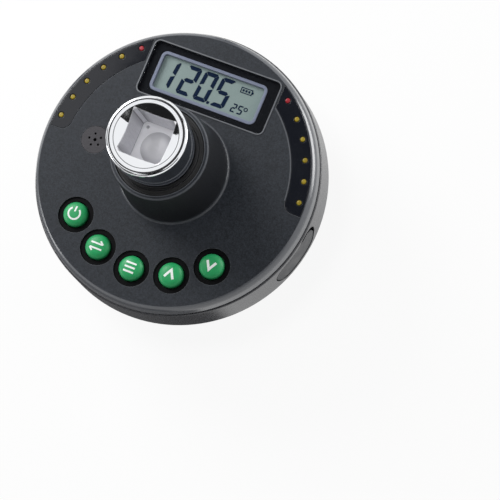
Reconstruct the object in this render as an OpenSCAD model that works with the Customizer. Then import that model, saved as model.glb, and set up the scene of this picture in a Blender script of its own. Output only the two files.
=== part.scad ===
// Torque and angle gauge: a round instrument housing on a square drive spindle.
// The origin is the centre of the male square's tip, +Z runs up the spindle
// and +Y points from the spindle to the display.

/* [Drive spindle] */
// Width across the flats of the male and female squares
square_w = 12.7; // [10:0.1:13.5]
// Length of the male square below the battery cover
drive_len = 14.5; // [10:0.5:20]
// Amount turned off each corner of the male square
corner_turn = 0.75; // [0.4:0.05:1.2]
// Height of the turned taper at the male square's tip
tip_rise = 2; // [1:0.1:3]
// How far the flat of the tip lies inside the flats of the square
tip_inset = 1.1; // [0.5:0.1:2]
// Clearance added across the female square
socket_clear = 0.2; // [0.05:0.05:0.4]
// Rounding of the female square's corners
socket_corner = 1.4; // [0.6:0.1:1.8]
// Depth of the female square below the rim
socket_depth = 14; // [10:0.5:17]
// Radius of the dished floor of the female square
dish_r = 4.9; // [3:0.1:5.2]
// Diameter of the chromed head
head_d = 23; // [21.5:0.5:24]
// Height of the head above the neck of the housing
head_h = 16; // [12:0.5:20]
// Length of the head inside the neck of the housing
head_in = 7; // [5:0.5:9]
// Width of the rim between the head's side and the countersink
rim_w = 2.3; // [1.6:0.1:2.6]
// Slope of the countersink below the rim
sink_slope = 30; // [25:1:50]
// Rounding of the head's outer edge
rim_round = 0.9; // [0.3:0.1:1.2]
// Diameter of the sensing length, where the strain gauges sit
neck_d = 14; // [11:0.5:16]
// Depth of the two flats on the sensing length
gauge_flat = 0.8; // [0.4:0.1:1.5]
// Step from the turned square to the round shaft above it
shaft_step = 0.8; // [0.5:0.1:1.2]
// Distance of each flange screw from the shaft
flange_side = 3.47; // [3:0.01:4.5]
// Thickness of the flange
flange_t = 3; // [2:0.25:3.5]
// Distance of each flange screw from the flange's end
flange_edge = 4.5; // [3.5:0.25:5]

/* [Housing] */
// How far the round wall reaches past the corners of the battery bays
disc_reach = 8; // [7.5:0.1:11]
// Height of the round wall
wall_h = 12.4; // [12:0.2:16]
// Height of the top cover above the parting line
cover_h = 4; // [3.4:0.2:5]
// Thickness of the wall at the parting line
wall_t = 1.6; // [1.2:0.1:1.8]
// Draft of the wall, top to bottom, on the radius
wall_draft = 0.5; // [0.2:0.1:0.8]
// Step from the cover's bevel out to the wall
shoulder = 0.4; // [0.2:0.05:0.6]
// Width of the cover's bevel
bevel_w = 1.7; // [1.4:0.1:2.2]
// Width of the flatter band of the bevel, next to the face
chamfer_w = 1.1; // [0.9:0.1:1.3]
// Height of the flatter band of the bevel
chamfer_h = 1; // [0.8:0.1:1.4]
// Rounding between the two bands of the bevel
bevel_round = 2.8; // [0.5:0.1:3]
// Thickness of the cover's plate
plate_t = 2.2; // [2:0.1:2.6]
// Thickness of the shell's floor
floor_t = 2; // [1.6:0.1:2.6]
// Height of the neck above the cover's face
tower_h = 20; // [16:0.5:24]
// Width of the neck's top outside the rubber ring
tower_lip = 1.2; // [0.8:0.1:1.8]
// How much wider the neck's foot is than its top, on the radius
tower_taper = 1.7; // [1.2:0.1:2.6]
// Wall of the neck at its foot
tower_wall = 2.2; // [1.8:0.1:3]
// Width of the rubber ring round the head
neck_seal_w = 1.2; // [0.8:0.1:1.4]
// Height of the rubber ring round the head
neck_seal_h = 1.6; // [1:0.1:2.5]
// Thickness of the gasket in the parting line
gasket_t = 0.3; // [0.2:0.05:0.5]

/* [Battery block] */
// Height of the battery cover
lid_h = 6.2; // [5.5:0.1:8]
// How far the arms reach past the battery bays
arm_reach = 5.7; // [5:0.1:6.5]
// Width of the arms
arm_w = 28; // [24:0.5:29]
// Thickness of the block's walls
block_wall = 1.6; // [1.2:0.1:1.8]
// Rounding of the block's upright corners
block_round = 2; // [1:0.1:2.5]
// Rounding of the battery cover's lower edge
lid_round = 1.2; // [0.6:0.1:1.5]
// Distance from the end of a bay to the tongue that dips into the battery cover
tongue_end = 5.3; // [4.5:0.1:10]
// Depth of the tongue
tongue_drop = 1.4; // [0.8:0.1:2]
// Slant of the tongue's ends
tongue_slant = 1.7; // [0.5:0.1:2]
// Diameter of a battery
cell_d = 10.5; // [10:0.1:12]
// Length of a battery, terminal included
cell_len = 44.5; // [40:0.1:50]
// Length of a battery's spring when it is pressed
spring_len = 2.1; // [1.6:0.1:3]
// Space between the tube round the shaft and a battery
cell_room = 1.27; // [1:0.01:2]
// Space above the batteries
cell_over = 0.7; // [0.4:0.1:1.2]
// Radius of a battery's spring
contact_coil_r = 2.8; // [2.2:0.1:3.4]
// Distance of the battery cover's screws from the ends of the arms
lid_screw_edge = 3.5; // [3:0.1:4]

/* [Display] */
// Distance from the display window's far side to the edge of the cover's face
display_edge = 6.1; // [5.5:0.1:7]
// Gap between the neck's foot and the display window
display_gap = 2.2; // [1.6:0.1:3]
// Distance from the display window's far corners to the edge of the cover's face
display_margin = 0.7; // [0.6:0.1:1.5]
// Thickness of the display window
lens_t = 1.1; // [0.8:0.1:1.2]
// Rounding of the display window's upper edge
lens_round = 0.3; // [0.1:0.05:0.5]
// Rounding of the display window's corners
lens_corner = 1.5; // [0.8:0.1:2.5]
// Width of the bead round the display window
bead_w = 0.35; // [0.2:0.05:0.5]
// Height of the bead above the cover's face
bead_h = 0.2; // [0.1:0.05:0.4]
// Thickness of the gasket under the display window
lens_gasket_t = 0.3; // [0.2:0.05:0.4]
// Black border of the display window beside the pale rim
rim_side = 3; // [2.6:0.1:4]
// Black border of the display window above and below the pale rim
rim_end = 1.9; // [1.5:0.1:2.4]
// How far the pale rim sits left of the middle
rim_shift = 0.4; // [0:0.1:0.8]
// Rounding of the pale rim's corners
rim_corner = 1.9; // [1.2:0.1:2.4]
// Breadth of the pale rim's frame
rim_frame = 0.9; // [0.6:0.1:1.2]

/* [Light windows] */
// Distance of the lights from the edge of the cover's face
led_edge = 2.1; // [1.8:0.1:2.8]
// Distance of the red light from the upper end of its window
led_side = 2.5; // [1.8:0.1:3]
// Angle between neighbouring lights
led_step = 9.4; // [8:0.1:9.8]
// Angle from the last light to the end of its window
led_end = 5.6; // [5:0.1:7]
// Diameter of a light
led_d = 1.7; // [1.4:0.1:2]
// Width of the light windows
led_win_w = 5.7; // [4.8:0.1:6.5]
// Margin between a light window and the edge of the cover's face
led_win_edge = 0.3; // [0.3:0.05:1]
// Gap between a light window and the display window
led_win_gap = 1; // [0.8:0.1:1.4]
// Rounding of a light window's lower inner corner
led_win_round = 3; // [1:0.1:3.2]
// Thickness of the light windows
led_win_t = 1.1; // [0.8:0.1:1.3]

/* [Buttons] */
// Distance of the buttons from the edge of the cover's face
button_edge = 9.05; // [8.5:0.05:10]
// Distance between neighbouring buttons
button_pitch = 11.96; // [11.5:0.01:12.5]
// Diameter of a button's cap
cap_d = 7.4; // [7:0.1:8]
// Diameter of the ring round a button
ring_d = 10.7; // [10:0.1:11]
// Height of a cap above the cover's face
cap_rise = 2; // [1.4:0.1:2.6]
// How far the edge of a cap's dome lies below the cover's face
cap_edge = 0.2; // [0:0.05:0.3]
// Travel of a button
button_travel = 0.6; // [0.4:0.05:0.7]
// Depth of the rings below the cover's face
ring_sink = 0.5; // [0.2:0.1:1]
// Thickness of the keypad mat
mat_t = 1; // [0.8:0.05:1.1]

/* [Buzzer] */
// Distance of the buzzer from the edge of the cover's face
buzzer_edge = 14.9; // [13.5:0.1:15.5]
// Diameter of the buzzer
buzzer_d = 12; // [10:0.5:12.5]
// Height of the buzzer
buzzer_h = 3.2; // [2.6:0.1:3.4]
// Diameter of the grille
grille_d = 8.2; // [7.6:0.1:9]
// Thickness of the grille
grille_t = 1; // [0.7:0.1:1.3]
// Diameter of the grille's middle hole
grille_hole = 1; // [0.8:0.1:1.2]
// Diameter of the grille's outer holes
grille_small = 0.7; // [0.5:0.1:0.9]
// Radius of the circle of outer holes
grille_ring = 1.85; // [1.5:0.05:2.4]

/* [Port] */
// Angle of the port round the housing
port_angle = -13.2; // [-14:0.1:-12.5]
// Length of the port's plug
plug_len = 17.4; // [15:0.1:18]
// Height of the port's plug
plug_h = 8; // [7.4:0.1:8.2]
// How far the plug's middle lies below the socket's
plug_drop = 1.15; // [0.9:0.05:1.2]
// How far the nail notch reaches past the end of the plug's pocket
nail_side = 0.6; // [0.3:0.1:0.8]
// How far the nail notch reaches above the plug's pocket
nail_rise = 0.9; // [0.5:0.1:1.1]
// Width of the port's socket
port_w = 8; // [7:0.1:8.4]
// Height of the port's socket
port_h = 2.9; // [2.7:0.1:3.2]
// Depth of the port's socket
port_depth = 5.5; // [4.5:0.1:6]
// How far the plug's face lies below the wall
plug_sink = 0.15; // [0.1:0.05:0.4]

/* [Circuit board] */
// Height of the space between the board and the cover's plate
board_drop = 3.9; // [3.8:0.1:4.2]
// Thickness of the board
board_t = 1.6; // [1:0.1:1.7]
// Diameter of the hole for the spindle
board_hole = 20; // [18:0.5:22]
// Height of a switch body
switch_h = 0.7; // [0.5:0.05:0.75]
// Width of a switch body
switch_w = 4.5; // [4:0.1:5]
// Gap between the keypad mat and a screw post of the board
post_gap = 0.55; // [0.3:0.05:1]
// Gap between the board's edge and the wall
board_edge = 0.8; // [0.5:0.1:1]
// Radius of the circle of chips under the board
chip_ring = 24; // [22:0.5:26]
// Width of the processor
processor_w = 9; // [7:0.5:10]
// Width of the smaller chips
chip_w = 5; // [4:0.5:5.5]
// Height of the chips
chip_h = 1.4; // [0.8:0.1:1.6]
// Thickness of the display glass
glass_t = 1.8; // [1.4:0.1:2]

/* [Strain gauges] */
// Width of a strain gauge
gauge_w = 5; // [3:0.5:6]
// Height of a strain gauge
gauge_h = 7; // [5:0.5:8]
// Thickness of the gauge and its flat cable
film_t = 0.2; // [0.1:0.05:0.3]
// Width of the flat cable
flex_w = 4; // [3:0.5:5]

/* [Screws] */
// Distance of the housing screws from the ends of the battery bays
case_screw_out = 3.2; // [3:0.1:3.8]
// Distance of the housing screws from the sides of the arms
case_screw_side = 3.5; // [3.2:0.1:4]
// Diameter of a housing screw
case_screw_d = 2.2; // [1.8:0.1:2.4]
// Diameter of a flange screw
flange_screw_d = 3; // [2.5:0.1:3.2]
// Diameter of a battery cover screw
lid_screw_d = 2.1; // [1.8:0.1:2.2]
// Diameter of a board screw
board_screw_d = 1.5; // [1.2:0.1:1.7]
// Depth of the housing screws' heads below the shell's underside
case_sink = 4; // [3:0.25:5]
// Depth of the battery cover's screw heads below its underside
lid_sink = 2; // [1.6:0.1:2.4]
// Wall of a screw boss round its screw
boss_wall = 1.5; // [1.2:0.1:1.6]
// Height of a housing or battery cover screw's head
head_t = 1.4; // [1:0.1:1.6]

/* [Retaining ball] */
// Diameter of the ball in the male square
ball_d = 4.8; // [4:0.1:5.2]
// How far the ball stands out of the square
ball_proud = 0.7; // [0.5:0.05:0.9]
// Height of the ball above the tip
ball_z = 7; // [6:0.1:8]
// Travel of the ball into the square
ball_travel = 0.6; // [0.4:0.05:0.65]

/* [Clearances] */
// Gap round a piece that is set into the cover
set_gap = 0.1; // [0.05:0.01:0.15]
// Gap round a piece that moves
run_gap = 0.3; // [0.2:0.05:0.35]
// Gap between the display window and its gasket
lens_seat = 0.03; // [0.01:0.01:0.05]
// Gap between the head and the neck of the housing
head_gap = 0.3; // [0.2:0.05:0.4]
// Gap of the parting line between the block and the battery cover
lid_gap = 0.2; // [0.15:0.05:0.3]
// Gap under the port's plug
plug_gap = 0.2; // [0.15:0.05:0.25]
// Gap above the port's plug
plug_over = 0.5; // [0.3:0.05:0.6]
// Radial gap between the ball and its bore
ball_gap = 0.08; // [0.03:0.01:0.1]
// Radial gap between a screw and its hole
screw_gap = 0.3; // [0.2:0.05:0.4]

/* [Hidden] */
$fn = 72;

// Overlap of solids that are joined, and reach of cuts past a face
join = 0.2;
past = 1;
inf = 200;

// Colours
charcoal = "#3b3e41";
black = "#17181a";
steel = "#c3c6ca";
chrome = "#e4e7ea";
green = "#2f9e5b";

// Spindle
turned_r = square_w / sqrt(2) - corner_turn;
shaft_r = turned_r + shaft_step;
shaft_hole_r = shaft_r + run_gap;
head_r = head_d / 2;
neck_r = neck_d / 2;
sink_r = head_r - rim_w;
socket_half = (square_w + socket_clear) / 2;
flat_y = neck_r - gauge_flat;
flange_screw_x = shaft_r + flange_side;
flange_len = 2 * (flange_screw_x + flange_edge);

// Battery block, sized by the batteries and the shaft between them
cell_r = cell_d / 2;
tube_t = 1.4;
plate_thick = 0.4;
tab_w = 3;
terminal_len = 1.2;
bay_in = (cell_len + spring_len) / 2 + plate_thick;
bay_len = 2 * (bay_in + block_wall);
arm_len = bay_len + 2 * arm_reach;
cell_y = shaft_hole_r + tube_t + cell_room + cell_r;
bay_w = 2 * (cell_y + cell_r + set_gap + block_wall);
block_h = block_wall + run_gap + cell_d + cell_over - lid_h;
tongue_half = bay_len / 2 - tongue_end;
lid_screw_x = arm_len / 2 - lid_screw_edge;
case_screw_x = bay_len / 2 + case_screw_out;
case_screw_y = arm_w / 2 + case_screw_side;

// Heights, from the tip up
z_lid = drive_len;
z_split = z_lid + lid_h;
z_under = z_split + block_h;
z_floor = z_under + floor_t;
z_joint = z_under + wall_h;
z_face = z_joint + cover_h;
z_plate = z_face - plate_t;
z_tower = z_face + tower_h;
z_top = z_tower + head_h;
z_socket = z_top - socket_depth;
z_head = z_tower - head_in;
z_flange = z_floor + flange_t;
z_board_top = z_plate - board_drop;
z_board = z_board_top - board_t;
z_port = z_board - port_h / 2;
z_mat = z_plate - mat_t;
cell_z = z_lid + block_wall + run_gap + cell_r;
lid_top = z_split - lid_gap;

// Housing radii, sized by the battery block
disc_r = norm([bay_len, bay_w]) / 2 + disc_reach;
lip_r = disc_r - wall_draft;
inside_r = lip_r - wall_t;
bevel_r = lip_r - shoulder;
face_r = bevel_r - bevel_w;
bore_r = head_r + head_gap;
seal_r = bore_r + neck_seal_w;
tower_top_r = seal_r + tower_lip;
tower_r = tower_top_r + tower_taper;
spigot_h = 1.2;
spigot_t = 1;
spigot_r = inside_r - set_gap;

// Display, between the neck's foot and the edge of the face
display_far = face_r - display_edge;
display_near = tower_r + display_gap;
display_d = display_far - display_near;
display_y = (display_far + display_near) / 2;
display_w = 2 * sqrt(pow(face_r - display_margin, 2) - pow(display_far, 2));
rim_len = display_w - 2 * rim_side;
rim_d = display_d - 2 * rim_end;

// Places round the face
led_r = face_r - led_edge;
led_first = asin((display_w / 2 + led_win_gap + led_side) / led_r);
led_win_out = face_r - led_win_edge;
led_win_in = led_win_out - led_win_w;
button_r = face_r - button_edge;
button_step = 2 * asin(button_pitch / 2 / button_r);
buzzer_x = face_r - buzzer_edge;

// Screw heads and bosses
case_head_r = case_screw_d / 2 + 1.3;
lid_head_r = lid_screw_d / 2 + 1.15;
board_head_r = board_screw_d / 2 + 0.85;
flange_head_r = flange_screw_d / 2 + 1.2;
head_room = 0.3;
thread_gap = 0.05;
case_boss_r = case_screw_d / 2 + boss_wall;
case_post_r = case_head_r + head_room + 0.8;
lid_boss_r = lid_head_r + head_room + 0.3;
board_post_r = board_screw_d / 2 + boss_wall;
flange_boss_r = flange_screw_d / 2 + boss_wall;
bite = 5;
mat_side = 0.8;
post_ring = button_r - ring_d / 2 - mat_side - post_gap - board_post_r;

// Port, measured along its own axis from the spindle's axis
plug_seat = inside_r - 0.4;
pad_in = plug_seat - 1.2;
socket_face = pad_in - set_gap;
port_wall = 0.35;
pocket_gap = (plug_gap + plug_over) / 2;
pocket_shift = (plug_over - plug_gap) / 2;
pocket_h = plug_h + 2 * pocket_gap;
pad_low = z_floor - join - z_port;
pad_high = z_joint - gasket_t / 2 - z_port;

// A corner [x, y, r] between its neighbours a and c, as an arc of n steps
function corner_arc(a, b, c, n) =
  let (
    u = [a[0] - b[0], a[1] - b[1]] / norm([a[0] - b[0], a[1] - b[1]]),
    v = [c[0] - b[0], c[1] - b[1]] / norm([c[0] - b[0], c[1] - b[1]]),
    half = acos(max(-1, min(1, u * v))) / 2,
    mid = (u + v) / norm(u + v),
    centre = [b[0], b[1]] + mid * b[2] / sin(half),
    from = [b[0], b[1]] + u * b[2] / tan(half) - centre,
    turn = (u[0] * v[1] - u[1] * v[0] < 0 ? 1 : -1) * (180 - 2 * half)
  )
  [for (i = [0 : n])
    let (t = turn * i / n)
    centre + [from[0] * cos(t) - from[1] * sin(t), from[0] * sin(t) + from[1] * cos(t)]];

// An outline whose corners [x, y, r] are rounded by their own radius
function rounded(p, n = 6) =
  [for (i = [0 : len(p) - 1])
    each p[i][2] == 0
      ? [[p[i][0], p[i][1]]]
      : corner_arc(p[(i + len(p) - 1) % len(p)], p[i], p[(i + 1) % len(p)], n)];

// A rectangle about the origin with rounded corners
module soft_rect(w, d, r) {
  polygon(rounded([[w / 2, -d / 2, r], [w / 2, d / 2, r], [-w / 2, d / 2, r], [-w / 2, -d / 2, r]]));
}

// A bar from z = 0 whose upright corners and lower edges are rounded
module soft_bar(w, d, h, corner, edge) {
  intersection() {
    linear_extrude(h) soft_rect(w, d, corner);
    rotate([90, 0, 0]) linear_extrude(d + past, center = true) lower_rounded(w, h, edge);
    rotate([90, 0, 90]) linear_extrude(w + past, center = true) lower_rounded(d, h, edge);
  }
}

// A rectangle on the x axis with rounded lower corners
module lower_rounded(w, h, r) {
  polygon(rounded([[w / 2, 0, r], [w / 2, h, 0], [-w / 2, h, 0], [-w / 2, 0, r]]));
}

// Outline of the block: two battery bays joined by two arms
module block_outline(inset) {
  corner = block_round - min(inset, block_round - 0.4);
  soft_rect(arm_len - 2 * inset, arm_w - 2 * inset, corner);
  soft_rect(bay_len - 2 * inset, bay_w - 2 * inset, corner);
}

// A stadium along x
module stadium(len, h) {
  square([len - h, h], center = true);
  for (s = [-1, 1]) translate([s * (len - h) / 2, 0]) circle(d = h);
}

// A coil along z between z = 0 and z = length
module coil(radius, wire_r, length, turns) {
  sides = 8;
  rings = ceil(turns * 16);
  points = [for (i = [0 : rings], k = [0 : sides - 1])
    let (
      a = 360 * turns * i / rings,
      r = radius + wire_r * cos(360 * k / sides),
      z = wire_r + (length - 2 * wire_r) * i / rings + wire_r * sin(360 * k / sides)
    )
    [r * cos(a), r * sin(a), z]];
  skin = [for (i = [0 : rings - 1], k = [0 : sides - 1])
    let (m = (k + 1) % sides)
    [i * sides + k, (i + 1) * sides + k, (i + 1) * sides + m, i * sides + m]];
  first = [for (k = [0 : sides - 1]) k];
  last = [for (k = [sides - 1 : -1 : 0]) rings * sides + k];
  polyhedron(points, concat(skin, [first, last]), convexity = 4);
}

// A screw with its head's seat at z = 0, its shank up and its head below
module screw(shank_r, len, head_r, head_h) {
  slot = head_r * 0.35;
  difference() {
    union() {
      translate([0, 0, -join]) cylinder(r = shank_r, h = len + join);
      translate([0, 0, -head_h]) cylinder(r = head_r, h = head_h);
    }
    for (a = [0, 90])
      rotate(a) translate([0, 0, -head_h])
        cube([head_r * 1.3, slot, head_h], center = true);
  }
}

// Repeats its children at the four housing screws
module at_case_screws() {
  for (sx = [-1, 1], sy = [-1, 1])
    translate([sx * case_screw_x, sy * case_screw_y, 0]) children();
}

// Repeats its children on both sides of x = 0
module at_both(x) {
  for (s = [-1, 1]) translate([s * x, 0, 0]) children();
}

// Repeats its children at the four battery contacts
module at_contacts() {
  for (sx = [-1, 1], sy = [-1, 1])
    translate([sx * (bay_in - plate_thick / 2), sy * cell_y, 0]) children();
}

// Slot for a contact's tab
module tab_slot() {
  square([plate_thick + 6 * set_gap, tab_w + 6 * set_gap], center = true);
}

// Puts its children at a board post: one in front, two beside the display
module at_posts() {
  for (a = [-90, 30, 150]) rotate(a) translate([post_ring, 0, 0]) children();
}

// Moves its children to light k of the right row
module at_light(k) {
  rotate(90 - led_first - led_step * k) translate([led_r, 0, 0]) children();
}

// Moves its children to button i, counted from the left
module at_button(i) {
  rotate(-90 + button_step * (i - 2)) translate([button_r, 0, 0]) children();
}

// Turns its children so that their z axis points out of the port
module at_port() {
  rotate(port_angle) translate([0, 0, z_port]) rotate([90, 0, 90]) children();
}

// Outside of the round wall, made smaller by an inset
module wall_solid(inset) {
  rotate_extrude($fn = 360) polygon([
    [0, z_under], [disc_r - inset, z_under], [lip_r - inset, z_joint], [0, z_joint]
  ]);
}

// Outline of the right light window, made larger by a gap
module light_window_outline(gap) {
  low = 90 - led_first - 5 * led_step - led_end;
  inner = led_win_in - gap;
  outer = led_win_out + gap;
  round_at = inner + led_win_round;
  lift = asin(led_win_round / round_at);
  side = display_w / 2 + led_win_gap - gap;
  intersection() {
    circle(r = outer);
    translate([side, -inf / 2]) square([inf, inf]);
    union() {
      rotate(low) translate([round_at * cos(lift), led_win_round - gap]) circle(r = led_win_round);
      difference() {
        rotate(low) translate([0, -gap]) square([inf, inf]);
        circle(r = inner);
        rotate(low) translate([0, -gap]) square([round_at * cos(lift), led_win_round]);
      }
    }
  }
}

module top_cover() {
  bore_end = z_tower - 6;
  color(charcoal) difference() {
    union() {
      rotate_extrude() polygon(rounded([
        [spigot_r - spigot_t, z_joint - spigot_h, 0],
        [spigot_r, z_joint - spigot_h, 0.2],
        [spigot_r, z_joint + gasket_t / 2, 0],
        [bevel_r, z_joint + gasket_t / 2, 0.2],
        [face_r + chamfer_w, z_face - chamfer_h, bevel_round],
        [face_r, z_face, 0.4],
        [tower_r, z_face, 0.8],
        [tower_top_r, z_tower, 0.7],
        [seal_r, z_tower, 0],
        [seal_r, z_tower - neck_seal_h, 0],
        [bore_r, z_tower - neck_seal_h, 0],
        [bore_r, bore_end, 0],
        [tower_r - tower_wall, z_plate, 0.8],
        [spigot_r - spigot_t, z_plate, 0.6]
      ]));
      translate([0, display_y, z_face - join]) linear_extrude(bead_h + join) soft_rect(
        display_w + 2 * (set_gap + bead_w), display_d + 2 * (set_gap + bead_w), lens_corner + set_gap + bead_w
      );
      at_case_screws() translate([0, 0, z_board]) cylinder(r = case_boss_r, h = z_plate - z_board + join);
      at_posts() translate([0, 0, z_board_top]) cylinder(r = board_post_r, h = board_drop + join);
    }
    // Display: a recess for the lens and an opening for the rim
    translate([0, display_y, z_face - lens_t - lens_gasket_t]) linear_extrude(inf)
      soft_rect(display_w + 2 * set_gap, display_d + 2 * set_gap, lens_corner + set_gap);
    translate([-rim_shift, display_y, z_joint]) linear_extrude(cover_h)
      soft_rect(rim_len + 2 * set_gap, rim_d + 2 * set_gap, rim_corner + set_gap);
    // Light windows and the holes for their lights
    for (m = [0, 1]) mirror([m, 0, 0]) {
      translate([0, 0, z_face - led_win_t]) linear_extrude(inf) light_window_outline(set_gap);
      for (k = [0 : 5])
        at_light(k) translate([0, 0, z_plate - past]) cylinder(d = led_d + 4 * set_gap, h = plate_t + past);
    }
    // Buttons
    for (i = [0 : 4])
      at_button(i) translate([0, 0, z_plate - past]) cylinder(d = ring_d, h = plate_t + 2 * past);
    // Buzzer
    translate([-buzzer_x, 0, z_face - grille_t]) cylinder(d = grille_d + 2 * set_gap, h = grille_t + past);
    translate([-buzzer_x, 0, z_plate - past]) cylinder(d = grille_d - 2, h = plate_t + past);
    // Screw holes
    at_case_screws() translate([0, 0, z_board - past]) cylinder(r = case_screw_d / 2, h = bite + 0.5 + past);
    at_posts() translate([0, 0, z_board_top - past])
      cylinder(r = board_screw_d / 2 + thread_gap, h = board_drop - 1 + past);
    // The spigot stops at the port's pad
    at_port() translate([0, 0, pad_in - past])
      linear_extrude(inside_r) translate([-plug_len / 2 - 2, -inf / 2])
        square([plug_len + 4, inf / 2 + z_joint - z_port]);
  }
}

module base_shell() {
  bay_wall_y = cell_y - cell_r - set_gap;
  bay_wall_t = 1.2;
  color(charcoal) difference() {
    union() {
      rotate_extrude() polygon(rounded([
        [shaft_hole_r, z_under, 0],
        [disc_r, z_under, 0.9],
        [lip_r, z_joint - gasket_t / 2, 0.5],
        [inside_r, z_joint - gasket_t / 2, 0],
        [inside_r, z_floor, 0.8],
        [shaft_hole_r, z_floor, 0]
      ]));
      // Walls of the block
      translate([0, 0, z_split]) difference() {
        linear_extrude(block_h + join) block_outline(0);
        translate([0, 0, -past]) linear_extrude(block_h + past) block_outline(block_wall);
      }
      // Tongues that dip into the battery cover
      for (m = [0, 1]) mirror([0, m, 0]) translate([0, -bay_w / 2 + block_wall, 0]) rotate([90, 0, 0])
        linear_extrude(block_wall) tongue_outline(0);
      // Walls between the spindle and the batteries
      for (s = [-1, 1]) translate([0, s * (bay_wall_y - bay_wall_t / 2), z_split + block_h / 2 + join])
        cube([bay_len - block_wall, bay_wall_t, block_h], center = true);
      // Bosses for the flange screws and the battery cover's screws
      at_both(flange_screw_x) translate([0, 0, z_split]) cylinder(r = flange_boss_r, h = block_h + join);
      at_both(lid_screw_x) translate([0, 0, z_split]) cylinder(r = lid_boss_r, h = block_h + join);
      // Posts that carry the board
      at_case_screws() translate([0, 0, z_floor - join])
        cylinder(r = case_post_r, h = z_board - z_floor + join);
      port_pad();
    }
    translate([0, 0, z_under - past]) cylinder(r = shaft_hole_r, h = floor_t + 2 * past);
    at_both(flange_screw_x) translate([0, 0, z_split - past])
      cylinder(r = flange_screw_d / 2, h = block_h + floor_t + 2 * past);
    at_both(lid_screw_x) translate([0, 0, z_split - past])
      cylinder(r = lid_screw_d / 2 + screw_gap, h = block_h + past);
    at_case_screws() {
      translate([0, 0, z_under - past]) cylinder(r = case_head_r + head_room, h = case_sink + past);
      translate([0, 0, z_under]) cylinder(r = case_screw_d / 2 + screw_gap, h = inf);
    }
    // Slots for the battery contacts' tabs
    at_contacts() translate([0, 0, z_under - past]) linear_extrude(floor_t + 2 * past) tab_slot();
    // Pocket for the plug, opening for the socket and a nail notch
    at_port() {
      translate([0, pocket_shift - plug_drop, plug_seat]) linear_extrude(inf) {
        stadium(plug_len + 2 * pocket_gap, pocket_h);
        translate([(plug_len - plug_h) / 2 + nail_side, nail_rise]) circle(d = pocket_h);
      }
      translate([0, 0, pad_in - past]) linear_extrude(inf) soft_rect(port_w + 0.6, port_h + 0.6, 0.8);
    }
  }
}

// The tongue on the block's front, made larger by a gap
module tongue_outline(gap) {
  polygon([
    [-tongue_half - gap, z_split - tongue_drop - gap],
    [tongue_half + gap, z_split - tongue_drop - gap],
    [tongue_half + tongue_slant + gap, z_split + join],
    [-tongue_half - tongue_slant - gap, z_split + join]
  ]);
}

// Thick patch inside the wall round the port
module port_pad() {
  intersection() {
    at_port() translate([0, 0, pad_in]) linear_extrude(inf)
      translate([-plug_len / 2 - 1.5, pad_low]) square([plug_len + 3, pad_high - pad_low]);
    wall_solid(wall_t / 2);
  }
}

module housing_seal() {
  color(black) translate([0, 0, z_joint - gasket_t / 2]) linear_extrude(gasket_t) difference() {
    circle(r = bevel_r - 0.3);
    circle(r = inside_r + set_gap);
  }
}

module drive_spindle() {
  color(chrome) difference() {
    union() {
      // Turned head, neck and shaft
      rotate_extrude() polygon(rounded([
        [0, z_lid, 0],
        [shaft_r, z_lid, 0.5],
        [shaft_r, z_floor + join, 0],
        [neck_r, z_floor + join, 0],
        [neck_r, z_head, 1.5],
        [head_r, z_head, 0.6],
        [head_r, z_top, rim_round],
        [0, z_top, 0]
      ]));
      // Flange on the shell's floor
      translate([0, 0, z_floor]) linear_extrude(flange_t) stadium(flange_len, 2 * shaft_r + 2);
      // Male square, turned at its corners and its tip
      intersection() {
        linear_extrude(z_lid + join) square(square_w, center = true);
        rotate_extrude() polygon([
          [0, 0],
          [square_w / 2 - tip_inset, 0],
          [turned_r, tip_rise],
          [turned_r, z_lid + join],
          [0, z_lid + join]
        ]);
      }
    }
    // Female square with its countersink and dished floor
    translate([0, 0, z_socket]) linear_extrude(inf)
      soft_rect(2 * socket_half, 2 * socket_half, socket_corner);
    translate([0, 0, z_top - sink_depth])
      cylinder(r1 = socket_half, r2 = sink_r + past / tan(sink_slope), h = sink_depth + past);
    intersection() {
      translate([0, 0, z_socket + dish_ball - dish_depth]) sphere(r = dish_ball);
      translate([0, 0, z_socket - 2 * dish_depth]) cylinder(r = square_w / 2, h = 2 * dish_depth + join);
    }
    // Punch mark in the far corner of the floor
    translate([punch_in - socket_half, socket_half - punch_in, z_socket]) sphere(d = punch_d, $fn = 24);
    // Line turned into the rim
    translate([0, 0, z_top - 0.15]) difference() {
      cylinder(r = head_r - rim_round - 0.15, h = past);
      cylinder(r = head_r - rim_round - 0.35, h = past);
    }
    // Flats for the strain gauges
    for (s = [-1, 1]) translate([0, s * (flat_y + neck_r / 2), (z_flange + z_head) / 2])
      cube([neck_d, neck_r, z_head - z_flange - 4], center = true);
    // Flange screw holes
    at_both(flange_screw_x) translate([0, 0, z_floor - past])
      cylinder(r = flange_screw_d / 2 + set_gap, h = flange_t + 2 * past);
    // Bore for the retaining ball
    translate([0, square_w / 2 + past, ball_z]) rotate([90, 0, 0])
      cylinder(r = ball_d / 2 + ball_gap, h = ball_bore + past);
  }
}

// Countersink, dish and punch mark of the female square
sink_depth = (sink_r - socket_half) * tan(sink_slope);
punch_d = 1;
punch_in = 1.5;
dish_depth = 1.2;
dish_ball = (dish_r * dish_r + dish_depth * dish_depth) / (2 * dish_depth);

// Depth of the ball's bore
ball_bore = ball_d + 3;

module flange_screws() {
  color(steel) at_both(flange_screw_x) translate([0, 0, z_flange]) mirror([0, 0, 1])
    screw(flange_screw_d / 2 - thread_gap, flange_t + floor_t + block_h - 2, flange_head_r, 2);
}

module neck_seal() {
  color(black) rotate_extrude() polygon(rounded([
    [head_r + 0.05, z_tower - neck_seal_h, 0],
    [seal_r - set_gap, z_tower - neck_seal_h, 0],
    [seal_r - set_gap, z_tower - 0.4, 0.3],
    [bore_r + neck_seal_w / 2, z_tower - 0.5, 0],
    [head_r + 0.05, z_tower - 0.2, 0.1]
  ]));
}

ball_y = square_w / 2 + ball_proud - ball_d / 2;

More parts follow.
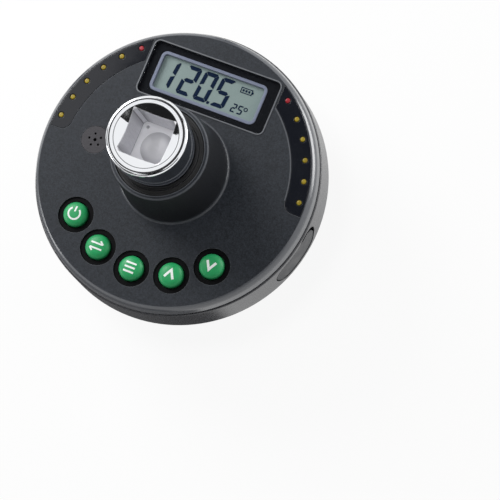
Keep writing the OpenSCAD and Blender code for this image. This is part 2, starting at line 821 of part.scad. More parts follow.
module retaining_ball() {
  color(steel) translate([0, ball_y, ball_z]) sphere(d = ball_d);
}

module ball_spring() {
  bore_end = square_w / 2 - ball_bore;
  spring_r = ball_d / 2 - 0.7;
  contact = sqrt(ball_d * ball_d / 4 - spring_r * spring_r);
  length = ball_y - contact - ball_travel - run_gap - bore_end;
  color(steel) translate([0, bore_end, ball_z]) rotate([-90, 0, 0]) coil(spring_r, 0.25, length, 3.5);
}

gauge_z = (z_board_top + z_head) / 2;

module strain_gauges() {
  color("#b5732f") for (s = [-1, 1]) translate([0, s * (flat_y + film_t / 2), gauge_z + gauge_h / 2])
    cube([gauge_w, film_t, gauge_h], center = true);
}

module gauge_flex() {
  reach = board_hole / 2 + 3;
  color("#a8742c") for (m = [0, 1]) mirror([0, m, 0]) {
    translate([-flex_w / 2, flat_y, z_board_top]) cube([flex_w, film_t, gauge_z - z_board_top]);
    translate([-flex_w / 2, flat_y, z_board_top]) cube([flex_w, reach - flat_y, film_t]);
  }
}

module main_board() {
  color("#1f6b43") translate([0, 0, z_board]) linear_extrude(board_t) difference() {
    circle(r = inside_r - board_edge);
    circle(d = board_hole);
    at_case_screws() circle(r = case_boss_r + set_gap);
    at_posts() circle(r = board_screw_d / 2 + set_gap);
    at_contacts() tab_slot();
    rotate(port_angle) translate([socket_face - 2.6, -plug_len / 2 - 2]) square([inf, plug_len + 4]);
  }
}

module board_chips() {
  color("#26282b") translate([0, 0, z_board]) mirror([0, 0, 1]) {
    // Processor, amplifier, motion sensor, memory and display driver
    at_chip(115) chip(processor_w, processor_w);
    at_chip(65) chip(chip_w, chip_w * 0.8);
    at_chip(180) chip(chip_w * 0.8, chip_w * 0.8);
    at_chip(-75) chip(chip_w, chip_w * 1.2);
    at_chip(-105) chip(chip_w * 1.4, chip_w);
  }
}

// Moves its children to a chip's place round the board
module at_chip(angle) {
  rotate(angle) translate([chip_ring, 0, 0]) children();
}

// One chip with its legs
module chip(w, d) {
  leg = 0.5;
  pitch = 1.2;
  legs = floor(d / (pitch + 0.1));
  translate([0, 0, chip_h / 2]) cube([w, d, chip_h], center = true);
  for (s = [-1, 1], k = [0 : legs - 1])
    translate([s * (w + leg) / 2, (k - (legs - 1) / 2) * pitch, leg / 2])
      cube([leg + join, leg, leg], center = true);
}

module board_screws() {
  color(steel) at_posts() translate([0, 0, z_board])
    screw(board_screw_d / 2, board_t + board_drop - 1.5, board_head_r, 1);
}

module tact_switches() {
  color("#55585c") for (i = [0 : 4]) at_button(i) translate([0, 0, z_board_top]) {
    translate([0, 0, switch_h / 2]) cube([switch_w, switch_w, switch_h], center = true);
    cylinder(r = switch_w / 4, h = z_button - button_travel - run_gap - z_board_top);
  }
}

// A light with its foot on the board and its domed end in the window
module light() {
  r = led_d / 2;
  rotate_extrude() polygon(rounded([
    [0, z_board_top, 0],
    [r + 0.35, z_board_top, 0],
    [r + 0.35, z_board_top + 1, 0.2],
    [r, z_board_top + 1, 0],
    [r, z_face + 0.1, r * 0.6],
    [0, z_face + 0.1, 0]
  ]));
}

module leds_yellow() {
  color("#c9ae2c") for (m = [0, 1], k = [1 : 5]) mirror([m, 0, 0]) at_light(k) light();
}

module leds_red() {
  color("#c83241") for (m = [0, 1]) mirror([m, 0, 0]) at_light(0) light();
}

// The right light window, with a hole for each light
module light_window() {
  color(black) translate([0, 0, z_face - led_win_t]) linear_extrude(led_win_t) difference() {
    light_window_outline(0);
    for (k = [0 : 5]) at_light(k) circle(d = led_d + 2 * set_gap);
  }
}

module led_window_right() {
  light_window();
}

module led_window_left() {
  mirror([1, 0, 0]) light_window();
}

module display_window() {
  color("#9fb0b8", 0.4) translate([0, display_y, z_face]) mirror([0, 0, 1])
    soft_bar(display_w, display_d, lens_t, lens_corner, lens_round);
}

module window_gasket() {
  color(black) translate([0, display_y, z_face - lens_t - lens_gasket_t])
    linear_extrude(lens_gasket_t - lens_seat) difference() {
    soft_rect(display_w, display_d, lens_corner);
    translate([-rim_shift, 0]) soft_rect(rim_len + 2 * set_gap, rim_d + 2 * set_gap, rim_corner + set_gap);
  }
}

z_glass = z_plate - 0.3;

module lcd_frame() {
  color("#7f87a0") translate([-rim_shift, display_y, z_glass])
    linear_extrude(z_face - lens_t - z_glass - set_gap) difference() {
      soft_rect(rim_len, rim_d, rim_corner);
      soft_rect(rim_len - 2 * rim_frame, rim_d - 2 * rim_frame, rim_corner - rim_frame);
    }
}

module lcd_panel() {
  color("#8c9b96") translate([-rim_shift, display_y, z_glass - glass_t]) {
    linear_extrude(glass_t / 2) square([rim_len + 3, rim_d + 2], center = true);
    translate([0, 0, glass_t / 2]) linear_extrude(glass_t / 2) square([rim_len + 3, rim_d], center = true);
  }
}

module lcd_connectors() {
  strip = 1.6;
  color("#d98a9a") for (s = [-1, 1])
    translate([-rim_shift - rim_len / 2, display_y + s * (rim_d / 2 - strip / 2) - strip / 2, z_board_top])
      cube([rim_len, strip, z_glass - glass_t - z_board_top]);
}

module buzzer() {
  color(black) translate([-buzzer_x, 0, z_plate - buzzer_h]) difference() {
    cylinder(d = buzzer_d, h = buzzer_h);
    translate([0, 0, buzzer_h - 1]) cylinder(r = 1, h = 1 + past);
  }
}

module buzzer_grille() {
  color("#46484b") translate([-buzzer_x, 0, z_face - grille_t]) linear_extrude(grille_t) difference() {
    circle(d = grille_d);
    circle(d = grille_hole, $fn = 24);
    for (k = [0 : 4]) rotate(36 + 72 * k) translate([grille_ring, 0]) circle(d = grille_small, $fn = 24);
  }
}

cap_r = cap_d / 2;
cap_flange = 0.9;
cap_flange_t = 0.7;
z_button = z_mat - run_gap - cap_flange_t;
collar_in = cap_r + run_gap;

module keypad_mat() {
  sweep = 4 * button_step + 18;
  color(black) difference() {
    union() {
      rotate(-90 - sweep / 2) rotate_extrude(angle = sweep)
        translate([button_r - ring_d / 2 - mat_side, z_mat]) square([ring_d + 2 * mat_side, mat_t]);
      for (i = [0 : 4])
        at_button(i) translate([0, 0, z_mat])
          cylinder(d = ring_d - 2 * set_gap, h = z_face - ring_sink - z_mat);
    }
    for (i = [0 : 4]) at_button(i) translate([0, 0, z_mat - past]) cylinder(r = collar_in, h = inf);
  }
}

// A button: a flange under the mat and a domed cap through its collar
module button(i) {
  z_edge = z_face - cap_edge;
  dome = z_face + cap_rise - z_edge;
  color(green) at_button(i) rotate_extrude() polygon(concat(
    [
      [0, z_button],
      [cap_r + cap_flange, z_button],
      [cap_r + cap_flange, z_button + cap_flange_t],
      [cap_r, z_button + cap_flange_t]
    ],
    [for (t = [0 : 9 : 90]) [cap_r * pow(cos(t), 0.7), z_edge + dome * pow(sin(t), 0.9)]]
  ));
}

module button_clear() {
  button(0);
}

module button_units() {
  button(1);
}

module button_mode() {
  button(2);
}

module button_up() {
  button(3);
}

module button_down() {
  button(4);
}

// A battery along x with its terminal against the contact at +x
module battery(side) {
  body_len = cell_len - terminal_len;
  color("#b9772e") translate([side * (bay_in - plate_thick), -side * cell_y, cell_z])
    rotate([0, -90 * side, 0]) rotate_extrude() polygon(rounded([
      [0, 0, 0],
      [1.9, 0, 0.3],
      [1.9, terminal_len, 0],
      [cell_r, terminal_len, 0.6],
      [cell_r, terminal_len + body_len, 0.4],
      [0, terminal_len + body_len, 0]
    ]));
}

module battery_front() {
  battery(1);
}

module battery_rear() {
  battery(-1);
}

module contact_springs() {
  contact_wire_r = 0.3;
  color(steel) for (side = [-1, 1])
    translate([-side * (bay_in - plate_thick), -side * cell_y, cell_z]) rotate([0, 90 * side, 0])
      coil(contact_coil_r, contact_wire_r, spring_len, 2.25);
}

module contact_plates() {
  tab_top = z_board_top + 0.4;
  plate_w = 8;
  color(steel) at_contacts() {
    translate([0, 0, cell_z]) cube([plate_thick, plate_w, plate_w], center = true);
    translate([-plate_thick / 2, -tab_w / 2, cell_z]) cube([plate_thick, tab_w, tab_top - cell_z]);
  }
}

module battery_cover() {
  h = lid_top - z_lid;
  cradle_step = cell_len / 3.2;
  color(charcoal) difference() {
    union() {
      difference() {
        translate([0, 0, z_lid]) {
          soft_bar(arm_len, arm_w, h, block_round, lid_round);
          soft_bar(bay_len, bay_w, h, block_round, lid_round);
        }
        translate([0, 0, z_lid + block_wall]) linear_extrude(h) block_outline(block_wall);
      }
      // Tube round the shaft and bosses for the screws
      translate([0, 0, z_lid + join]) cylinder(r = shaft_hole_r + tube_t, h = h - join);
      at_both(lid_screw_x) translate([0, 0, z_lid + join]) cylinder(r = lid_boss_r, h = h - join);
      // Cradles under the batteries
      for (k = [-1, 0, 1]) translate([k * cradle_step, 0, z_lid + join]) cradle(h - join);
    }
    translate([0, 0, z_lid - past]) cylinder(r = shaft_hole_r, h = h + 2 * past);
    // Room for the tongues
    for (m = [0, 1]) mirror([0, m, 0]) translate([0, -bay_w / 2 + block_wall + lid_gap, 0]) rotate([90, 0, 0])
      linear_extrude(block_wall + lid_gap + past) tongue_outline(lid_gap);
    at_both(lid_screw_x) {
      translate([0, 0, z_lid - past]) cylinder(r = lid_head_r + head_room, h = lid_sink + past);
      translate([0, 0, z_lid]) cylinder(r = lid_screw_d / 2 + set_gap, h = h + past);
    }
  }
}

// Ribs across both bays, hollowed for the batteries
module cradle(h) {
  rib_t = 1.2;
  rib_w = cell_d - 0.5;
  difference() {
    for (s = [-1, 1]) translate([-rib_t / 2, s * cell_y - rib_w / 2, 0]) cube([rib_t, rib_w, h - 1]);
    for (s = [-1, 1]) translate([-past, s * cell_y, cell_z - z_lid - join]) rotate([0, 90, 0])
      cylinder(r = cell_r + run_gap, h = 2 * past);
  }
}

module cover_screws() {
  color(steel) at_both(lid_screw_x) translate([0, 0, z_lid + lid_sink])
    screw(lid_screw_d / 2, lid_h - lid_sink + block_h - 2, lid_head_r, head_t);
}

module housing_screws() {
  color(steel) at_case_screws() translate([0, 0, z_under + case_sink])
    screw(case_screw_d / 2 - thread_gap, z_board - z_under - case_sink + bite, case_head_r, head_t);
}

module port_cover() {
  tongue_len = 3.4;
  color("#34373a") {
    intersection() {
      at_port() translate([0, -plug_drop, plug_seat + set_gap]) linear_extrude(inf) stadium(plug_len, plug_h);
      wall_solid(plug_sink);
    }
    at_port() translate([0, 0, plug_seat - tongue_len]) linear_extrude(tongue_len + join)
      soft_rect(port_w - 1.6, port_h - 1.4, 0.5);
  }
}

module port_socket() {
  cavity_w = port_w - 2 * port_wall;
  cavity_h = port_h - 2 * port_wall;
  color(steel) at_port() translate([0, 0, socket_face - port_depth]) difference() {
    linear_extrude(port_depth) soft_rect(port_w, port_h, 0.7);
    translate([0, 0, 1]) linear_extrude(port_depth) soft_rect(cavity_w, cavity_h, 0.5);
  }
}

top_cover();
base_shell();
housing_seal();
drive_spindle();
flange_screws();
neck_seal();
retaining_ball();
ball_spring();
strain_gauges();
gauge_flex();
main_board();
board_chips();
board_screws();
tact_switches();
leds_yellow();
leds_red();
led_window_right();
led_window_left();
display_window();
window_gasket();
lcd_frame();
lcd_panel();
lcd_connectors();
buzzer();
buzzer_grille();
keypad_mat();
button_clear();
button_units();
button_mode();
button_up();
button_down();
battery_front();
battery_rear();
contact_springs();
contact_plates();
battery_cover();
cover_screws();
housing_screws();
port_cover();
port_socket();
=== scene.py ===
import math

import bmesh
import bpy
from mathutils import Matrix, Vector


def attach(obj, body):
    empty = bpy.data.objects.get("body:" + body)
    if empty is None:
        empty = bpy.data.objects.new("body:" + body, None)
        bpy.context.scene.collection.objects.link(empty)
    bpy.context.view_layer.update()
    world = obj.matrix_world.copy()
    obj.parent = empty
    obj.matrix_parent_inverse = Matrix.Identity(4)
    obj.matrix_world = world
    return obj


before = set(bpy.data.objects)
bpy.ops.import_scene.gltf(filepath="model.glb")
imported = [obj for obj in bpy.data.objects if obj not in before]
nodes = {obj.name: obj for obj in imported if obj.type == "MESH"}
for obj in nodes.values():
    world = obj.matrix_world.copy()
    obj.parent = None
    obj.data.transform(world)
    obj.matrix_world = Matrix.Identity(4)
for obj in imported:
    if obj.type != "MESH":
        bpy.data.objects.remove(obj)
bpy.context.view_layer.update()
MM = 0.001

# Sizes and places that the part's source has, in millimetres
FACE_Z = 44.0
FACE_R = 40.41
BUTTON_R = FACE_R - 9.05
BUTTON_PITCH = 11.96
MIDDLE_BUTTON = 2
CAP_R = 3.7
CAP_EDGE_Z = FACE_Z - 0.2
CAP_DOME = 2.2
CAP_SPREAD = 0.7
CAP_ROUND = 0.9
GLASS_Z = 41.5
DISPLAY_X = -0.4
DISPLAY_Y = 26.2
WINDOW_IN_R = 34.31
NECK_FOOT_R = 15.9
NECK_TOP_R = 14.2
NECK_TOP_Z = 64.0
SEAL_R = 13.0
HEAD_TOP_Z = 80.0
SINK_R = 9.2
SOCKET_HALF = 6.45
SOCKET_FLOOR_Z = 66.0
DISH_R = 4.9

# Limits of bands and lines that only the finishes draw, in millimetres
DISPLAY_SHADE_X = 15.8
DISPLAY_SHADE_Y = 5.3
LIP_HIGHLIGHT_X = 20.9
LIP_HIGHLIGHT_LOW_Y = 2.6
RIM_LINE_R = 10.42
CREASE_IN = 1.05
SATIN_TOP_Z = 29.0
CELL_BAND_X = 13.0
CELL_BARE_X = 21.6

# Prints, in millimetres: their thickness, and how far their faces stand off a button and the display
PRINT_T = 0.06
SIGN_PROUD = 0.025
DIGIT_PROUD = 0.08

# Ends of a noise's range that a roughness is spread over
NOISE_LOW = 0.2
NOISE_HIGH = 0.8

ACRYLIC_IOR = 1.49


class Wire:
    """A shader socket; an expression on it adds Math nodes."""

    def __init__(self, wiring, socket):
        self.wiring = wiring
        self.socket = socket

    def maths(self, operation, *values):
        return self.wiring.node("ShaderNodeMath", {"operation": operation}, dict(enumerate(values)))

    def __add__(self, other):
        return self.maths("ADD", self, other)

    def __radd__(self, other):
        return self.maths("ADD", other, self)

    def __sub__(self, other):
        return self.maths("SUBTRACT", self, other)

    def __rsub__(self, other):
        return self.maths("SUBTRACT", other, self)

    def __mul__(self, other):
        return self.maths("MULTIPLY", self, other)

    def __rmul__(self, other):
        return self.maths("MULTIPLY", other, self)

    def __truediv__(self, other):
        return self.maths("DIVIDE", self, other)

    def __rtruediv__(self, other):
        return self.maths("DIVIDE", other, self)

    def __pow__(self, other):
        return self.maths("POWER", self, other)

    def __abs__(self):
        return self.maths("ABSOLUTE", self)

    def over(self, limit):
        return self.maths("GREATER_THAN", self, limit)

    def under(self, limit):
        return self.maths("LESS_THAN", self, limit)

    def near(self, value, reach):
        """One within a reach of a value."""
        return abs(self - value).under(reach)

    def most(self, other):
        return self.maths("MAXIMUM", self, other)

    def least(self, other):
        return self.maths("MINIMUM", self, other)

    def ease(self, low, high, start=0.0, end=1.0):
        """A soft step from start to end as the value goes from low to high."""
        settings = {"interpolation_type": "SMOOTHSTEP"}
        sockets = {"Value": self, "From Min": low, "From Max": high, "To Min": start, "To Max": end}
        return self.wiring.node("ShaderNodeMapRange", settings, sockets)

    def spread(self, start, end):
        """A noise spread from start to end."""
        return self.ease(NOISE_LOW, NOISE_HIGH, start, end)


def between(share, first, second):
    """Values mixed by a share."""
    return first * (1 - share) + second * share


class Wiring:
    """The nodes of a material or of the surroundings."""

    def __init__(self, owner):
        owner.use_nodes = True
        self.tree = owner.node_tree
        self.tree.nodes.clear()

    def node(self, kind, settings=None, sockets=None, out=0):
        """A new node by its settings, then its values and links; gives one output, or several."""
        made = self.tree.nodes.new(kind)
        for key, value in (settings or {}).items():
            setattr(made, key, value)
        for key, value in (sockets or {}).items():
            if isinstance(value, Wire):
                self.tree.links.new(value.socket, made.inputs[key])
            else:
                made.inputs[key].default_value = value
        if isinstance(out, tuple):
            return [Wire(self, made.outputs[key]) for key in out]
        return Wire(self, made.outputs[out]) if len(made.outputs) else None

    def mix_shader(self, share, first, second):
        return self.node("ShaderNodeMixShader", None, {0: share, 1: first, 2: second})

    def seen(self):
        """One on rays from the camera, off gloss or through glass."""
        ways = ("Is Camera Ray", "Is Glossy Ray", "Is Transmission Ray")
        straight, glossy, through = self.node("ShaderNodeLightPath", out=ways)
        return straight.most(glossy).most(through)


class Finish(Wiring):
    """One material, built node by node."""

    def __init__(self, name):
        self.material = bpy.data.materials.new(name)
        super().__init__(self.material)

    def place(self, stretch=(1, 1, 1)):
        """Object coordinates in millimetres."""
        spot = self.node("ShaderNodeTexCoord", out="Object")
        scale = [s / MM for s in stretch]
        return self.node("ShaderNodeVectorMath", {"operation": "MULTIPLY"}, {0: spot, 1: scale})

    def xyz(self):
        return self.node("ShaderNodeSeparateXYZ", None, {0: self.place()}, (0, 1, 2))

    def noise(self, per_mm, detail=2.0, rough=0.5, stretch=(1, 1, 1)):
        sockets = {"Vector": self.place(stretch), "Scale": per_mm, "Detail": detail, "Roughness": rough}
        return self.node("ShaderNodeTexNoise", None, sockets)

    def pits(self, per_mm):
        return self.node("ShaderNodeTexVoronoi", None, {"Vector": self.place(), "Scale": per_mm})

    def mix(self, share, first, second):
        """Colours mixed by a share, on the sockets that a Mix node keeps for colours."""
        return self.node("ShaderNodeMix", {"data_type": "RGBA"}, {0: share, 6: first, 7: second}, 2)

    def soft_edges(self, radius_mm):
        """A normal that rounds sharp edges."""
        return self.node("ShaderNodeBevel", {"samples": 4}, {"Radius": radius_mm * MM})

    def edges(self, rounded):
        """Near one along sharp edges."""
        flat = self.node("ShaderNodeNewGeometry", out="Normal")
        settings = {"operation": "DOT_PRODUCT"}
        along = self.node("ShaderNodeVectorMath", settings, {0: rounded, 1: flat}, "Value")
        return (1 - along).ease(0.01, 0.2)

    def bump(self, height, depth_mm, strength=1.0, normal=None):
        sockets = {"Strength": strength, "Distance": depth_mm * MM, "Height": height}
        if normal:
            sockets["Normal"] = normal
        return self.node("ShaderNodeBump", None, sockets)

    def shader(self, **sockets):
        named = {key.replace("_", " "): value for key, value in sockets.items()}
        return self.node("ShaderNodeBsdfPrincipled", None, named)

    def done(self, shader):
        self.node("ShaderNodeOutputMaterial", None, {"Surface": shader})
        return self.material

    def dressed(self, tone, rough, normal, **more):
        """Ends the material in one shader of this colour, roughness and relief."""
        return self.done(self.shader(Base_Color=tone, Roughness=rough, Normal=normal, **more))


def linear(value):
    """A screen value of 0 to 255 as linear light."""
    share = value / 255
    if share <= 0.04045:
        return share / 12.92
    return ((share + 0.055) / 1.055) ** 2.4


def rgb(red, green, blue):
    """A colour from screen values of 0 to 255."""
    return (linear(red), linear(green), linear(blue), 1.0)


def moulded(name, colour, light, roughness, grain, depth_mm, edge_mm=0.2, shine=0.5):
    """Moulded plastic with an eroded grain and paler, rubbed edges."""
    f = Finish(name)
    rounded = f.soft_edges(edge_mm)
    fine = f.noise(grain, 3.0, 0.65)
    speck = f.pits(grain * 1.6)
    broad = f.noise(0.035, 2.0)
    rubbed = f.edges(rounded) * f.noise(0.5, 2.0).ease(0.3, 0.7, 0.35, 1.0)
    tone = f.mix(fine.ease(0.3, 0.75) * 0.6 + broad * 0.3, colour, light)
    tone = f.mix(rubbed * 0.35, tone, rgb(104, 106, 110))
    rough = fine.spread(roughness - 0.07, roughness + 0.08) + broad * 0.06 - rubbed * 0.08
    height = fine * 0.7 + speck * 0.5
    normal = f.bump(height, depth_mm, 0.9, rounded)
    return f.dressed(tone, rough, normal, Specular_IOR_Level=shine)


def cover_plastic():
    """Grained face, satin bevel paler by a painted sheen, neck darkened by painted shade, and pale
    lines: rubbed edges, and painted highlights at the neck, the display's bead and the right light
    window.
    """
    f = Finish("cover_plastic")
    x, y, z = f.xyz()
    r = (x * x + y * y) ** 0.5
    rounded = f.soft_edges(0.25)
    fine = f.noise(2.6, 3.0, 0.65)
    speck = f.pits(4.2)
    broad = f.noise(0.035, 2.0)
    coarse = f.noise(1.1, 2.0)
    satin = r.ease(FACE_R - 0.2, FACE_R + 0.1)

    # The neck, which takes painted shade, and the line round its foot, a painted highlight
    neck = z.ease(FACE_Z + 0.5, FACE_Z + 1.5) * r.under(NECK_FOOT_R + 0.5)
    neck = neck * z.ease(NECK_TOP_Z - 0.9, NECK_TOP_Z - 0.3, 1.0, 0.0)
    foot = r.ease(NECK_FOOT_R, NECK_FOOT_R + 0.25)
    foot = foot * r.ease(NECK_FOOT_R + 0.45, NECK_FOOT_R + 0.75, 1.0, 0.0)

    # Paler lines: rubbed sharp edges, and painted highlights on the bead round the display, the right
    # light window's lip, the neck's top and the line round its foot
    worn = f.edges(rounded) * f.noise(0.5, 2.0).ease(0.3, 0.7, 0.6, 1.0)
    bead = z.over(FACE_Z + 0.1) * r.over(NECK_FOOT_R + 1.3)
    beside = x.over(LIP_HIGHLIGHT_X) * y.over(LIP_HIGHLIGHT_LOW_Y)
    lip_highlight = r.near(WINDOW_IN_R - 0.2, 0.18) * beside * z.over(FACE_Z - 0.1)
    rings = r.near(NECK_TOP_R - 0.25, 0.2).most(r.near(SEAL_R + 0.12, 0.12))
    crown_highlight = rings * z.over(NECK_TOP_Z - 0.75)
    rubbed = worn.most(foot * z.under(FACE_Z + 2.0) * 0.3).most(bead)
    rubbed = rubbed.most(lip_highlight * 0.6).most(crown_highlight * 0.45)

    grain = fine.ease(0.3, 0.75) * 0.6 + coarse.ease(0.3, 0.7) * 0.25 + broad * 0.15
    tone = f.mix(grain, rgb(24, 27, 31), rgb(52, 56, 63))
    # Painted shade: the neck darker, for the dark its smooth sides reflect
    tone = f.mix(neck * 0.75, tone, rgb(15, 16, 19))
    # Painted sheen: the satin bevel paler
    tone = f.mix(satin * 0.7, tone, rgb(86, 89, 95))
    # Pale lines: rubbed wear on the sharp edges, painted highlights on the rest
    tone = f.mix(rubbed * 0.55, tone, rgb(132, 135, 141))
    matt = fine.spread(0.44, 0.6)
    shine = broad.ease(0.3, 0.7, 0.2, 0.28)
    rough = between(satin.most(foot), matt, shine) - rubbed * 0.1
    height = (fine * 0.7 + speck * 0.5) * (1 - satin.most(neck) * 0.9)
    normal = f.bump(height, 0.035, 0.9, rounded)
    coat = satin.most(bead).most(foot * 0.4).most(worn * 0.8)
    return f.dressed(
        tone, rough, normal, Specular_IOR_Level=0.28,
        Coat_Weight=coat, Coat_Roughness=0.2, Coat_IOR=1.6,
    )


def rubber(name, colour, light, roughness=0.62, edge_mm=0.15, shine=0.5, edge_highlight=0.3):
    """Moulded rubber with a dusty bloom and paler edges, a painted highlight."""
    f = Finish(name)
    rounded = f.soft_edges(edge_mm)
    bloom = f.noise(0.25, 3.0)
    fine = f.noise(5.0, 2.0)
    worn = f.edges(rounded)
    tone = f.mix(bloom.ease(0.35, 0.75) * 0.7 + fine * 0.2, colour, light)
    # Paler edges: a painted highlight, strongest on the seals
    tone = f.mix(worn * edge_highlight, tone, rgb(86, 87, 91))
    rough = bloom.spread(roughness - 0.08, roughness + 0.1) - worn * 0.2
    normal = f.bump(fine, 0.02, 0.6, rounded)
    return f.dressed(tone, rough, normal, Specular_IOR_Level=shine)


def metal(name, colour, dull, roughness, stretch=(1, 1, 1)):
    """Plain metal with fine tool marks and dull patches."""
    f = Finish(name)
    rounded = f.soft_edges(0.12)
    marks = f.noise(6.0, 3.0, 0.6, stretch)
    patches = f.noise(0.3, 3.0)
    tone = f.mix(patches.ease(0.4, 0.8) * 0.6, colour, dull)
    rough = marks.spread(roughness - 0.05, roughness + 0.07) + patches * 0.08
    normal = f.bump(marks, 0.006, 0.7, rounded)
    return f.dressed(tone, rough, normal, Metallic=1.0)


def chromed_steel():
    """Polished chrome outside, broached steel in the female square, satin on the male square."""
    f = Finish("chromed_steel")
    x, y, z = f.xyz()
    r = (x * x + y * y) ** 0.5
    smears = f.noise(0.22, 3.0)
    fine = f.noise(3.0, 3.0, 0.6)
    broach = f.noise(2.2, 3.0, 0.6, (3.0, 3.0, 0.16))

    # The female square, its floor with the dish, and its walls, with painted shade near their corners,
    # in the corner creases and along their foot
    inside = abs(x).most(abs(y)).under(SOCKET_HALF + 0.05) * z.over(SOCKET_FLOOR_Z - 2.0)
    floor = inside * z.under(SOCKET_FLOOR_Z + 0.15)
    dish = inside * z.under(SOCKET_FLOOR_Z - 0.03)
    wall = inside * z.over(SOCKET_FLOOR_Z + 0.15)
    corner = SOCKET_HALF - abs(x).least(abs(y))
    crease_shade = wall * corner.near(CREASE_IN, 0.16).most(z.under(SOCKET_FLOOR_Z + 0.5))
    corner_shade = wall * corner.ease(1.0, 3.4, 1.0, 0.0) * corner.over(CREASE_IN)

    # The turned line, a painted shade over the groove, the countersink's edge on the head, and the
    # satin shaft below
    top = z.over(HEAD_TOP_Z - 1.0)
    groove_shade = r.near(RIM_LINE_R, 0.19) * top
    brim = r.near(SINK_R, 0.12) * top
    edge = r.over(RIM_LINE_R - 0.2) * z.over(HEAD_TOP_Z - 1.1)
    male = z.under(SATIN_TOP_Z)

    tone = f.mix(inside, rgb(238, 240, 243), rgb(236, 236, 240))
    tone = f.mix(inside * broach.ease(0.35, 0.7) * 0.4, tone, rgb(200, 200, 204))
    # Painted shade: walls darker towards their corners, dark lines in the creases
    tone = f.mix(corner_shade * 0.55, tone, rgb(150, 150, 155))
    tone = f.mix(crease_shade * 0.6, tone, rgb(92, 92, 98))
    tone = f.mix(floor * 0.85, tone, rgb(244, 244, 247))
    # Painted shade: the dish darker towards its edge
    tone = f.mix(dish * r.ease(2.2, DISH_R) * 0.6, tone, rgb(150, 150, 156))
    tone = f.mix(male, tone, rgb(186, 187, 191))
    # Painted shade: the turned groove dark
    tone = f.mix(groove_shade, tone, rgb(40, 40, 44))
    tone = f.mix(brim * 0.8, tone, rgb(96, 97, 102))
    polish = smears.ease(0.35, 0.8, 0.03, 0.07)
    brushed = broach.spread(0.4, 0.52)
    rough = between(inside.most(male).most(groove_shade), polish, brushed) - dish * 0.1 + edge * 0.07
    plating = 1 - inside * 0.7 - floor * 0.1 - groove_shade * 0.9 + dish * 0.2
    lines = broach * inside * (1 - floor) + fine * inside.most(male) * 0.5
    normal = f.bump(lines, 0.012, 0.5)
    return f.dressed(tone, rough, normal, Metallic=plating)


def smoked_window():
    """Dark gloss acrylic over the lights."""
    f = Finish("smoked_window")
    rounded = f.soft_edges(0.25)
    swirl = f.noise(0.18, 2.0)
    dust = f.noise(4.0, 3.0).ease(0.62, 0.8)
    tone = f.mix(dust * 0.5 + swirl * 0.2, rgb(22, 24, 30), rgb(40, 43, 50))
    # Paler edges: a painted highlight
    tone = f.mix(f.edges(rounded) * 0.4, tone, rgb(84, 88, 96))
    rough = swirl.ease(0.3, 0.8, 0.06, 0.12) + dust * 0.12
    normal = f.bump(swirl, 0.02, 0.2, rounded)
    return f.dressed(tone, rough, normal)


def clear_lens():
    """Clear acrylic with a gloss that grows towards its edges."""
    f = Finish("clear_lens")
    rounded = f.soft_edges(0.1)
    rim = f.edges(rounded)
    smears = f.noise(0.15, 3.0)
    rough = smears.ease(0.3, 0.8, 0.02, 0.09) + rim * 0.35
    tone = rgb(16, 17, 20)
    gloss = f.shader(Base_Color=tone, Roughness=rough, Normal=rounded, Specular_IOR_Level=0.7)
    clear = f.node("ShaderNodeBsdfTransparent", None, {"Color": (0.97, 0.98, 0.99, 1.0)})
    turned = f.node("ShaderNodeFresnel", None, {"IOR": ACRYLIC_IOR, "Normal": rounded})
    leaving = f.node("ShaderNodeNewGeometry", out="Backfacing")
    share = (turned * 0.9 + rim * 0.15 + 0.01).least(1.0) * (1 - leaving)
    return f.done(f.mix_shader(share, clear, gloss))


def border_black():
    """Black gasket behind the lens, which shows as its border."""
    f = Finish("border_black")
    fine = f.noise(3.0, 2.0)
    tone = f.mix(fine * 0.6, rgb(15, 16, 19), rgb(24, 25, 30))
    rough = fine.spread(0.5, 0.6)
    normal = f.bump(fine, 0.003, 0.3)
    return f.dressed(tone, rough, normal, Specular_IOR_Level=0.08)


def display_glass():
    """Reflective grey-green display with a fine grain, and painted shade towards its edges."""
    f = Finish("display_glass")
    x, y = f.xyz()[:2]
    grain = f.noise(7.0, 2.0)
    broad = f.noise(0.09, 2.0)
    side = (abs(x - DISPLAY_X) / DISPLAY_SHADE_X).ease(0.8, 1.05)
    end = (abs(y - DISPLAY_Y) / DISPLAY_SHADE_Y).ease(0.75, 1.1)
    tone = f.mix(broad * 0.5 + grain * 0.25, rgb(138, 153, 148), rgb(150, 165, 159))
    # Painted shade towards the display's edges
    tone = f.mix(side.most(end) * 0.35, tone, rgb(112, 126, 125))
    rough = grain.spread(0.28, 0.4)
    normal = f.bump(grain, 0.004, 0.5)
    return f.dressed(tone, rough, normal)


def pale_rim():
    """Pale blue-grey moulded rim."""
    f = Finish("pale_rim")
    rounded = f.soft_edges(0.35)
    fine = f.noise(3.5, 3.0)
    tone = f.mix(fine * 0.5, rgb(124, 129, 148), rgb(142, 147, 165))
    # Paler edges: a painted highlight
    tone = f.mix(f.edges(rounded) * 0.35, tone, rgb(176, 180, 200))
    rough = fine.spread(0.3, 0.42)
    normal = f.bump(fine, 0.01, 0.5, rounded)
    return f.dressed(tone, rough, normal)


def green_cap():
    """Green silicone, with painted shade towards its foot."""
    f = Finish("green_cap")
    z = f.xyz()[2]
    rounded = f.soft_edges(0.2)
    fine = f.noise(4.0, 3.0)
    broad = f.noise(0.35, 2.0)
    foot = z.ease(CAP_EDGE_Z - 0.4, CAP_EDGE_Z + 1.4, 1.0, 0.0)
    tone = f.mix(fine * 0.35 + broad * 0.35, rgb(27, 147, 84), rgb(44, 163, 100))
    # Painted shade towards the foot
    tone = f.mix(foot * 0.75, tone, rgb(9, 60, 34))
    rough = fine.spread(0.36, 0.5) + broad * 0.06
    normal = f.bump(fine, 0.015, 0.6, rounded)
    return f.dressed(tone, rough, normal, Subsurface_Weight=0.08, Subsurface_Scale=0.001)


